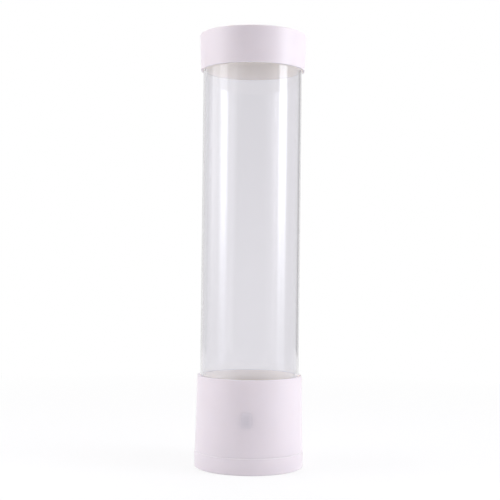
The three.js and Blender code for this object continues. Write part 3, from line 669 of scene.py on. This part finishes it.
face_radius = -button_low.y
face = turned([
    (0, button_low.z, 0),
    (face_radius, button_low.z, 0),
    (face_radius, button_high.z, 0),
    (0, button_high.z, 0),
])
front_only = solid_prism([
    (-FRONT_HALF, FRONT_SPAN[0]), (FRONT_HALF, FRONT_SPAN[0]),
    (FRONT_HALF, FRONT_SPAN[1]), (-FRONT_HALF, FRONT_SPAN[1])],
    button_low.z - PAST, button_high.z + PAST)
outline = solid_prism(
    rectangle(BUTTON_HALF_WIDTH, button_half_height), *WALL_SPAN, "Y", BUTTON_CORNER,
    BUTTON_CORNER_SEGMENTS)
bmesh.ops.translate(outline, verts=outline.verts, vec=(0, 0, button_centre))
button = carve(carve(face, front_only, "INTERSECT"), outline, "INTERSECT")
rim = [
    e for e in button.edges
    if len(e.link_faces) == 2 and e.calc_face_angle() > RIM_SHARPNESS
    and max(v.co.y for v in e.verts) < RIM_BACK]
bmesh.ops.bevel(
    button, geom=rim, offset=BUTTON_EDGE, segments=BUTTON_EDGE_SEGMENTS, profile=0.5,
    affect="EDGES", material=-1)
flange_back = FLANGE_FRONT + BUTTON_FLANGE
flange_half = BUTTON_HALF_WIDTH + BUTTON_FLANGE_MARGIN
flange = solid_prism([
    (-flange_half, FLANGE_FRONT), (flange_half, FLANGE_FRONT),
    (flange_half, flange_back), (-flange_half, flange_back)], button_low.z, button_high.z)
tongue_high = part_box("button_frame")[1].z
stem = solid_prism([
    (-STEM_HALF, flange_back - STEM_OVERLAP), (STEM_HALF, flange_back - STEM_OVERLAP),
    (STEM_HALF, button_high.y), (-STEM_HALF, button_high.y)],
    TONGUE_LOW - STEM_REACH, tongue_high + STEM_REACH)
fork = solid_prism([
    (-SLOT_HALF, flange_back), (SLOT_HALF, flange_back),
    (SLOT_HALF, button_high.y + PAST), (-SLOT_HALF, button_high.y + PAST)],
    TONGUE_LOW - SLOT_PLAY, tongue_high + SLOT_PLAY)
button = carve(carve(button, flange, "UNION"), carve(stem, fork), "UNION")
piece_from(
    button, "soft_button", frosted_button(), "button", "release_button",
    sharp_degrees=35)

# Cup guide: a funnel moulded in natural white polypropylene that stands on the housing's ledge
# under the tube and centres the stack over the catches.
GUIDE_THROAT = 38.6 * MM
GUIDE_WALL = 2 * MM
GUIDE_TOP_RADIUS = 46.2 * MM
GUIDE_RIM_WALL = 1.4 * MM
GUIDE_FLANGE = (66.3 * MM, 68.3 * MM)
GUIDE_THROAT_TOP = 58 * MM
GUIDE_THROAT_EDGE = 0.5 * MM
GUIDE_EDGE = 0.3 * MM
GUIDE_SHARP_EDGE = 0.2 * MM
GUIDE_RIM_EDGES = (0.4 * MM, 0.5 * MM)
GUIDE_BENDS = (1 * MM, 2 * MM)
PP_NATURAL = "#e6e3df"
PP_SHADE = "#dedad5"
PP_GLOW = (0.6, 6 * MM)
PP_ROUGHNESS = 0.45

# Gives the eye a warm, milky off-white, duller than the ABS.
natural_pp = moulded_plastic(
    "moulded_natural_polypropylene", PP_NATURAL, PP_SHADE, PP_ROUGHNESS, PP_GLOW)
guide_low, guide_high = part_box("cup_guide")
guide = turned([
    (GUIDE_THROAT, guide_low.z, GUIDE_THROAT_EDGE),
    (GUIDE_THROAT + GUIDE_WALL, guide_low.z, GUIDE_EDGE),
    (GUIDE_THROAT + GUIDE_WALL, GUIDE_THROAT_TOP, GUIDE_BENDS[0]),
    (HOUSING_LEDGE_RADIUS - GUIDE_WALL, GUIDE_FLANGE[0], GUIDE_EDGE),
    (guide_high.x, GUIDE_FLANGE[0], GUIDE_SHARP_EDGE),
    (guide_high.x, GUIDE_FLANGE[1], GUIDE_EDGE),
    (GUIDE_TOP_RADIUS + GUIDE_RIM_WALL, GUIDE_FLANGE[1], GUIDE_SHARP_EDGE),
    (GUIDE_TOP_RADIUS + GUIDE_RIM_WALL, guide_high.z, GUIDE_RIM_EDGES[0]),
    (GUIDE_TOP_RADIUS, guide_high.z, GUIDE_RIM_EDGES[1]),
    (GUIDE_THROAT, GUIDE_THROAT_TOP, GUIDE_BENDS[1]),
])
piece_from(
    guide, "stack_funnel", natural_pp, "dispenser", "cup_guide",
    sharp_degrees=30)

# Tray, catch frames and lever: moulded parts inside the base, seen only through the mouth. The
# tray is the guide's polypropylene; what slides on it is grey acetal, slightly waxy.
MOULD_EDGE = 0.2 * MM
SAME_POINT = 1e-6
SAME_PLANE = math.radians(1)
SHARP_EDGE = math.radians(40)
ACETAL_GREY = "#c3c5c9"
ACETAL_SHADE = "#babcc1"
ACETAL_ROUGHNESS = 0.38


def rounded_copy(node, edge=MOULD_EDGE):
    """The CAD node's own shape with its facets merged and its sharp edges rounded."""
    bm = bmesh.new()
    bm.from_mesh(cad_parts[node].data)
    bmesh.ops.remove_doubles(bm, verts=bm.verts, dist=SAME_POINT)
    bmesh.ops.dissolve_limit(
        bm, angle_limit=SAME_PLANE, use_dissolve_boundaries=False, verts=bm.verts,
        edges=bm.edges)
    sharp = [
        e for e in bm.edges
        if len(e.link_faces) == 2 and e.calc_face_angle() > SHARP_EDGE]
    bmesh.ops.bevel(
        bm, geom=sharp, offset=edge, segments=2, profile=0.5, affect="EDGES", clamp_overlap=True,
        material=-1)
    return bm


# Gives the eye an opaque, cool light grey with a waxy sheen and no glow.
grey_acetal = moulded_plastic(
    "moulded_grey_acetal", ACETAL_GREY, ACETAL_SHADE, ACETAL_ROUGHNESS)
piece_from(
    rounded_copy("mechanism_tray"), "mechanism_plate", natural_pp, "dispenser", "mechanism_tray",
    sharp_degrees=30)
piece_from(
    rounded_copy("button_frame"), "button_catch", grey_acetal, "button", "button_frame",
    sharp_degrees=30)
piece_from(
    rounded_copy("counter_frame"), "counter_catch", grey_acetal, "counter", "counter_frame",
    sharp_degrees=30)
piece_from(
    rounded_copy("reversing_lever"), "swing_lever", grey_acetal, "lever", "reversing_lever",
    sharp_degrees=30)

# Pin, springs and screws: small zinc-plated steel parts, the springs wound from plated wire. Each
# spring stands on a stop of the tray. The button's frame squeezes springs 1 and 2 against their
# stops, and the counter frame squeezes 3 and 4.
ZINC = "#c2c3c6"
ZINC_SHADE = "#a9abb0"
ZINC_ROUGHNESS = (0.22, 0.36)
MOTTLE_SIZE = 1.2 * MM
PIN_EDGE = 0.1 * MM
SCREW_EDGE = 0.06 * MM


def zinc_plated_steel():
    """Bright zinc plating: a cool metal with a faintly mottled polish.

    Real plating is mottled too finely to show. The mottle is drawn about a millimetre wide.
    """
    material, tree = new_material("zinc_plated_steel")
    place = add_node(tree, "ShaderNodeTexCoord").outputs["Object"]
    mottle = add_node(tree, "ShaderNodeTexNoise", {
        "Vector": place, "Scale": 1 / MOTTLE_SIZE, "Detail": 4.0})
    tint = add_node(tree, "ShaderNodeMix", {0: mottle.outputs["Fac"]}, data_type="RGBA")
    tint.inputs["A"].default_value = linear(ZINC)
    tint.inputs["B"].default_value = linear(ZINC_SHADE)
    rough = add_node(tree, "ShaderNodeMapRange", {
        "Value": mottle.outputs["Fac"], "To Min": ZINC_ROUGHNESS[0],
        "To Max": ZINC_ROUGHNESS[1]})
    shader = add_node(tree, "ShaderNodeBsdfPrincipled", {
        "Base Color": tint.outputs["Result"], "Metallic": 1.0,
        "Roughness": rough.outputs["Result"]})
    add_node(tree, "ShaderNodeOutputMaterial", {"Surface": shader.outputs["BSDF"]})
    return material


plated_steel = zinc_plated_steel()
piece_from(
    rounded_copy("lever_pin", PIN_EDGE), "lever_pivot", plated_steel, "dispenser", "lever_pin",
    sharp_degrees=30)
for number in range(1, 5):
    piece_from(
        rounded_copy(f"tray_screw_{number}", SCREW_EDGE), f"pan_screw_{number}", plated_steel,
        "dispenser", f"tray_screw_{number}", sharp_degrees=30)
    spring_bm = bmesh.new()
    spring_bm.from_mesh(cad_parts[f"return_spring_{number}"].data)
    bmesh.ops.remove_doubles(spring_bm, verts=spring_bm.verts, dist=SAME_POINT)
    spring = piece_from(
        spring_bm, f"wire_spring_{number}", plated_steel, "dispenser", f"return_spring_{number}",
        sharp_degrees=50)
    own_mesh(spring)

# Wall bracket: a dovetail plate moulded in white ABS, screwed to the wall through two
# countersunk holes. The housing's rear pad slides down over it.
BRACKET_EDGE = 0.35 * MM
piece_from(
    rounded_copy("wall_bracket", BRACKET_EDGE), "dovetail_bracket", white_abs, "bracket",
    "wall_bracket", sharp_degrees=30)

# Studio: a pale floor in a white cove that is dim in front and overhead, with a softbox on each
# side, one at the left rear, one overhead and two low lamps that light the base alone. The camera
# and the tube see the cove white, and reflections see levels of their own.
FLOOR_SIZE = 2.2
FLOOR_DROP = 0.2 * MM
PURE_WHITE = "#ffffff"
FLOOR_COLOUR = "#f6f6f8"
FLOOR_WHITE = 0.74
FLOOR_FADE = (0.25, 0.9)
COVE_LIGHT = (
    (-180, 1.7), (-135, 0.8), (-90, 1.65), (-45, 0.55), (0, 0.12), (45, 1.2), (90, 1.6),
    (135, 0.9), (180, 1.7))
COVE_DIMS = (0.5, 0.9)
COVE_ZENITH = 0.2
COVE_COLOUR = "#fffcfe"
COVE_IN_GLOSS = (
    (-180, 0.6), (-165, 0.95), (-138, 0.85), (-100, 0.85), (-62, 1.0), (-54, 1.3), (-42, 1.25),
    (-33, 0.6), (-22, 0.42), (-10, 0.33), (20, 0.33), (43, 0.55), (52, 1.15), (62, 1.1),
    (80, 0.9), (100, 0.85), (133, 0.85), (139, 0.55), (149, 0.55), (158, 1.0), (168, 1.0),
    (180, 0.6))
COVE_LIFT = (-0.02, 0.17)
LIFTED = (0.84, 0.3)
COVE_LIFTED = ((-180, 0.0), (-75, 0.0), (-50, 1.0), (50, 1.0), (75, 0.0), (180, 0.0))
LIFTED_BELOW = (-0.25, -0.1)
SEEN_WHITE = 1.0
ANY_GLOSS = 0.5
SOFTBOX_EDGE = 0.2
SOFTBOX_LOW = 0.15
SOFTBOX_MIDDLE = 0.5
SIDE_AIM = (0, 0, 0.6)
TOP_AIM = (0, 0, 0.2)
BASE_AIM = (0, 0, 0.05)
LEFT_COLOUR = "#fafcff"
RIGHT_COLOUR = "#f4f9ff"


def seen_rays(tree):
    """Is 1 for rays that see the studio directly, in a gloss or through something clear."""
    path = add_node(tree, "ShaderNodeLightPath")
    first = add_node(tree, "ShaderNodeMath", {
        0: path.outputs["Is Camera Ray"], 1: path.outputs["Is Glossy Ray"]}, operation="MAXIMUM")
    seen = add_node(tree, "ShaderNodeMath", {
        0: first.outputs["Value"], 1: path.outputs["Is Transmission Ray"]}, operation="MAXIMUM")
    return seen.outputs["Value"]


def studio_floor():
    """A pale floor that runs into the white surround, so that no horizon shows in the tube."""
    material, tree = new_material("studio_floor")
    lit = add_node(tree, "ShaderNodeBsdfDiffuse", {"Color": linear(FLOOR_COLOUR)})
    white = add_node(tree, "ShaderNodeEmission", {
        "Color": linear(PURE_WHITE), "Strength": SEEN_WHITE})
    near = add_node(tree, "ShaderNodeMixShader", {
        0: FLOOR_WHITE, 1: lit.outputs["BSDF"], 2: white.outputs["Emission"]})
    place = add_node(tree, "ShaderNodeTexCoord").outputs["Object"]
    reach = add_node(tree, "ShaderNodeVectorMath", {0: place}, operation="LENGTH")
    away = add_node(tree, "ShaderNodeMapRange", {
        "Value": reach.outputs["Value"], "From Min": FLOOR_FADE[0], "From Max": FLOOR_FADE[1]})
    bright = add_node(tree, "ShaderNodeMixShader", {
        0: away.outputs["Result"], 1: near.outputs["Shader"], 2: white.outputs["Emission"]})
    mixed = add_node(tree, "ShaderNodeMixShader", {
        0: seen_rays(tree), 1: lit.outputs["BSDF"], 2: bright.outputs["Shader"]})
    add_node(tree, "ShaderNodeOutputMaterial", {"Surface": mixed.outputs["Shader"]})
    return material


floor_bm = bmesh.new()
bmesh.ops.create_grid(floor_bm, x_segments=1, y_segments=1, size=FLOOR_SIZE / 2)
floor_mesh = bpy.data.meshes.new("floor")
floor_bm.to_mesh(floor_mesh)
floor_bm.free()
floor_mesh.materials.append(studio_floor())
floor = bpy.data.objects.new("floor", floor_mesh)
bpy.context.scene.collection.objects.link(floor)
floor.location.z = -FLOOR_DROP

world = bpy.data.worlds.new("studio")
bpy.context.scene.world = world
world.use_nodes = True
sky = world.node_tree
sky.nodes.clear()
direction = add_node(sky, "ShaderNodeTexCoord").outputs["Generated"]
facing = add_node(sky, "ShaderNodeMapping", {
    "Vector": direction, "Rotation": (0, 0, math.pi / 2 - CAMERA_TURN)})
round_cove = add_node(sky, "ShaderNodeTexGradient", {
    "Vector": facing.outputs["Vector"]}, gradient_type="RADIAL")
levels = []
for stops in (COVE_LIGHT, COVE_IN_GLOSS, COVE_LIFTED):
    levels.append(add_node(sky, "ShaderNodeValToRGB", {"Fac": round_cove.outputs["Fac"]}))
    elements = levels[-1].color_ramp.elements
    for extra in elements[1:]:
        elements.remove(extra)
    for azimuth, level in stops:
        element = elements.new(azimuth / 360 + 0.5) if azimuth > stops[0][0] else elements[0]
        element.position = azimuth / 360 + 0.5
        element.color = (level, level, level, 1)
fill_level, gloss_level, lifted_front = levels
upward = add_node(sky, "ShaderNodeSeparateXYZ", {0: direction})
overhead = add_node(sky, "ShaderNodeMapRange", {
    "Value": upward.outputs["Z"], "From Min": COVE_DIMS[0], "From Max": COVE_DIMS[1],
    "To Min": 1.0, "To Max": COVE_ZENITH})
fill_strength = add_node(sky, "ShaderNodeMath", {
    0: fill_level.outputs["Color"], 1: overhead.outputs["Result"]}, operation="MULTIPLY")
fill = add_node(sky, "ShaderNodeBackground", {
    "Color": linear(COVE_COLOUR), "Strength": fill_strength.outputs["Value"]})
lifted = add_node(sky, "ShaderNodeMapRange", {
    "Value": upward.outputs["Z"], "From Min": COVE_LIFT[0], "From Max": COVE_LIFT[1],
    "To Min": LIFTED[0], "To Max": LIFTED[1]})
below = add_node(sky, "ShaderNodeMapRange", {
    "Value": upward.outputs["Z"], "From Min": LIFTED_BELOW[0], "From Max": LIFTED_BELOW[1],
    "To Min": 1.0, "To Max": 0.0})
reach = add_node(sky, "ShaderNodeMath", {
    0: lifted_front.outputs["Color"], 1: below.outputs["Result"]}, operation="MAXIMUM")
lift = add_node(sky, "ShaderNodeMath", {
    0: lifted.outputs["Result"], 1: reach.outputs["Value"]}, operation="MULTIPLY")
in_gloss = add_node(sky, "ShaderNodeMath", {
    0: gloss_level.outputs["Color"], 1: lift.outputs["Value"]}, operation="MAXIMUM")
# A ray's glossy depth is a whole number, so whatever exceeds one half comes from a reflection.
reflected = add_node(sky, "ShaderNodeMath", {
    0: add_node(sky, "ShaderNodeLightPath").outputs["Glossy Depth"], 1: ANY_GLOSS},
    operation="GREATER_THAN")
white_level = add_node(sky, "ShaderNodeMix", {
    0: reflected.outputs["Value"], "A": SEEN_WHITE, "B": in_gloss.outputs["Value"]},
    data_type="FLOAT")
white = add_node(sky, "ShaderNodeBackground", {
    "Color": linear(PURE_WHITE), "Strength": white_level.outputs["Result"]})
surround = add_node(sky, "ShaderNodeMixShader", {
    0: seen_rays(sky), 1: fill.outputs["Background"], 2: white.outputs["Background"]})
add_node(sky, "ShaderNodeOutputWorld", {"Surface": surround.outputs["Shader"]})


def softbox(
        name, azimuth, distance, height, width, tall, power, aim, fade, colour=PURE_WHITE):
    """A rectangular lamp that faces the object; azimuth 0 is the camera's side, + is the right.

    It is evenly bright but for its soft sides and its lowest part, the share that fade gives.
    """
    lamp = bpy.data.lights.new(name, "AREA")
    lamp.shape = "RECTANGLE"
    lamp.size = width
    lamp.size_y = tall
    lamp.energy = power
    lamp.color = linear(colour)[:3]
    lamp.use_nodes = True
    tree = lamp.node_tree
    tree.nodes.clear()
    on_lamp = add_node(tree, "ShaderNodeNewGeometry").outputs["Parametric"]
    spot = add_node(tree, "ShaderNodeSeparateXYZ", {0: on_lamp})
    low = add_node(tree, "ShaderNodeMapRange", {
        "Value": spot.outputs["Y"], "From Max": fade, "To Min": SOFTBOX_LOW},
        interpolation_type="SMOOTHSTEP")
    across = add_node(tree, "ShaderNodeMath", {
        0: spot.outputs["X"], 1: SOFTBOX_MIDDLE}, operation="PINGPONG")
    sides = add_node(tree, "ShaderNodeMapRange", {
        "Value": across.outputs["Value"], "From Max": SOFTBOX_EDGE})
    level = add_node(tree, "ShaderNodeMath", {
        0: low.outputs["Result"], 1: sides.outputs["Result"]}, operation="MULTIPLY")
    glow = add_node(tree, "ShaderNodeEmission", {"Strength": level.outputs["Value"]})
    add_node(tree, "ShaderNodeOutputLight", {"Surface": glow.outputs["Emission"]})
    holder = bpy.data.objects.new(name, lamp)
    bpy.context.scene.collection.objects.link(holder)
    angle = math.radians(azimuth) + CAMERA_TURN
    holder.location = (distance * math.sin(angle), -distance * math.cos(angle), height)
    holder.rotation_euler = (Vector(aim) - holder.location).to_track_quat("-Z", "Y").to_euler()
    return holder


softbox(
    "left_softbox", azimuth=-71, distance=1.0, height=0.6, width=0.5, tall=1.2, power=3.9,
    aim=SIDE_AIM, fade=0.38, colour=LEFT_COLOUR)
softbox(
    "right_softbox", azimuth=75, distance=1.0, height=0.6, width=0.48, tall=1.2, power=7.8,
    aim=SIDE_AIM, fade=0.38, colour=RIGHT_COLOUR)
softbox(
    "left_rear_softbox", azimuth=-95, distance=1.0, height=0.6, width=0.5, tall=1.2, power=2.2,
    aim=SIDE_AIM, fade=0.35)
softbox(
    "top_softbox", azimuth=0, distance=0.05, height=1.5, width=0.9, tall=0.9, power=7.0,
    aim=TOP_AIM, fade=0.1)
for number, low_azimuth in enumerate((-62, 66), start=1):
    low_lamp = softbox(
        f"low_lamp_{number}", azimuth=low_azimuth, distance=0.42, height=0.06, width=0.3,
        tall=0.12, power=0.12, aim=BASE_AIM, fade=0.1)
    low_lamp.visible_glossy = False
    low_lamp.visible_transmission = False
